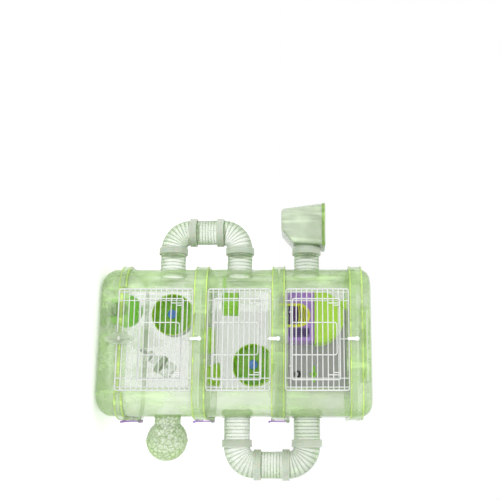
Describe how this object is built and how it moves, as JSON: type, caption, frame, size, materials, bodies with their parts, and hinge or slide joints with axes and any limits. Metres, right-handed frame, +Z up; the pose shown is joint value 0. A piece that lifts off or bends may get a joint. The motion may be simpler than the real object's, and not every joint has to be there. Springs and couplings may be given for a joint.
{
  "type": "hamster cage",
  "caption": "Tall hamster cage of clear green stacked storeys with wire doors, outside tube loops, a lookout pod, a play ball, running wheels, a house and a carry handle",
  "frame": {"origin": "under the middle of the tower's own footprint, on the surface that it stands on", "axes": "+Z up, the wire fronts face -Y, +X is the side with the play ball and the latches"},
  "size_m": [0.5751, 0.2489, 0.545],
  "materials": {
    "clear_green": "clear tinted, glossy",
    "clear_lime": "clear tinted, glossy, brighter along the edges",
    "clear_tube": "clear, glossy, ribbed",
    "frosted_white": "frosted, translucent",
    "white_wire": "white powder coat",
    "white_plastic": "glossy",
    "lime_plastic": "translucent, glossy",
    "green_plastic": "translucent, glossy",
    "lavender_plastic": "satin",
    "blue_plastic": "glossy",
    "bottle_plastic": "clear",
    "pin_steel": "drawn wire",
    "black_rubber": "matte"
  },
  "bodies": {
    "cage": {"base_tray": "clear_green", "lower_shell": "clear_green", "middle_shell": "clear_green", "upper_shell": "clear_green", "ball_neck_half": "clear_green", "ball_cap_half": "clear_green", "pod_body": "clear_green", "pod_hinge_pin": "clear_green", "lower_floor": "clear_lime", "upper_floor": "clear_lime", "top_cap": "clear_lime", "left_lower_stub": "clear_tube", "left_lower_elbow": "clear_tube", "left_middle_tube": "clear_tube", "left_upper_elbow": "clear_tube", "left_upper_stub": "clear_tube", "right_lower_stub": "clear_tube", "right_lower_elbow": "clear_tube", "right_middle_tube": "clear_tube", "right_upper_elbow": "clear_tube", "right_upper_stub": "clear_tube", "pod_stub": "clear_tube", "bottle_holder": "clear_tube", "left_rings": "frosted_white", "right_rings": "frosted_white", "pod_ring": "frosted_white", "wall_nuts": "frosted_white", "lower_wheel_stand": "frosted_white", "middle_wheel_stand": "frosted_white", "lower_grille": "white_wire", "middle_grille": "white_wire", "upper_grille": "white_wire", "grille_clips": "white_plastic", "bottle_cap": "white_plastic", "house_roof": "lime_plastic", "food_dish": "lime_plastic", "sand_dish": "lime_plastic", "house_arch": "lime_plastic", "dome_hut": "green_plastic", "food_cup": "green_plastic", "bottle_hanger": "green_plastic", "house_walls": "lavender_plastic", "hub_caps": "blue_plastic", "water_bottle": "bottle_plastic", "handle_pins": "pin_steel", "turn_clip_pin": "pin_steel", "latch_pins": "pin_steel", "bottle_spout": "pin_steel", "port_grommet": "black_rubber"},
    "lower_door": {"lower_door": "white_wire"},
    "middle_door": {"middle_door": "white_wire"},
    "upper_door": {"upper_door": "white_wire"},
    "lower_latch": {"lower_latch": "lavender_plastic"},
    "middle_latch": {"middle_latch": "lavender_plastic"},
    "upper_latch": {"upper_latch": "lavender_plastic"},
    "carry_handle": {"carry_handle": "clear_lime"},
    "turn_clip": {"turn_clip": "clear_tube"},
    "pod_lid": {"pod_lid": "clear_lime"},
    "lower_wheel": {"lower_wheel": "green_plastic"},
    "middle_wheel": {"middle_wheel": "green_plastic"}
  },
  "joints": [
    {"name": "lower_door_hinge", "type": "hinge", "parent": "cage", "child": "lower_door", "pos_m": [0, -0.11615, 0.08677], "axis": [1, 0, 0], "range_deg": [0, 90]},
    {"name": "middle_door_hinge", "type": "hinge", "parent": "cage", "child": "middle_door", "pos_m": [0, -0.11615, 0.23117], "axis": [1, 0, 0], "range_deg": [0, 90]},
    {"name": "upper_door_hinge", "type": "hinge", "parent": "cage", "child": "upper_door", "pos_m": [0, -0.11615, 0.38517], "axis": [1, 0, 0], "range_deg": [0, 90]},
    {"name": "lower_latch_hinge", "type": "hinge", "parent": "cage", "child": "lower_latch", "pos_m": [0.1563, 0, 0.075], "axis": [0, -1, 0], "range_deg": [0, 90]},
    {"name": "middle_latch_hinge", "type": "hinge", "parent": "cage", "child": "middle_latch", "pos_m": [0.1563, 0, 0.224], "axis": [0, -1, 0], "range_deg": [0, 90]},
    {"name": "upper_latch_hinge", "type": "hinge", "parent": "cage", "child": "upper_latch", "pos_m": [0.1563, 0, 0.378], "axis": [0, -1, 0], "range_deg": [0, 90]},
    {"name": "handle_hinge", "type": "hinge", "parent": "cage", "child": "carry_handle", "pos_m": [0, 0.014, 0.538], "axis": [-1, 0, 0], "range_deg": [0, 90]},
    {"name": "turn_clip_pivot", "type": "hinge", "parent": "cage", "child": "turn_clip", "pos_m": [0, -0.12145, 0.0506], "axis": [0, 1, 0], "range_deg": [-90, 90]},
    {"name": "pod_lid_hinge", "type": "hinge", "parent": "cage", "child": "pod_lid", "pos_m": [-0.2545, 0.0446, 0.454], "axis": [-1, 0, 0], "range_deg": [0, 100]},
    {"name": "lower_wheel_spin", "type": "hinge", "parent": "cage", "child": "lower_wheel", "pos_m": [-0.07, 0.056, 0.127], "axis": [0, 1, 0], "continuous": true},
    {"name": "middle_wheel_spin", "type": "hinge", "parent": "cage", "child": "middle_wheel", "pos_m": [0.038, 0.056, 0.303], "axis": [0, 1, 0], "continuous": true}
  ]
}
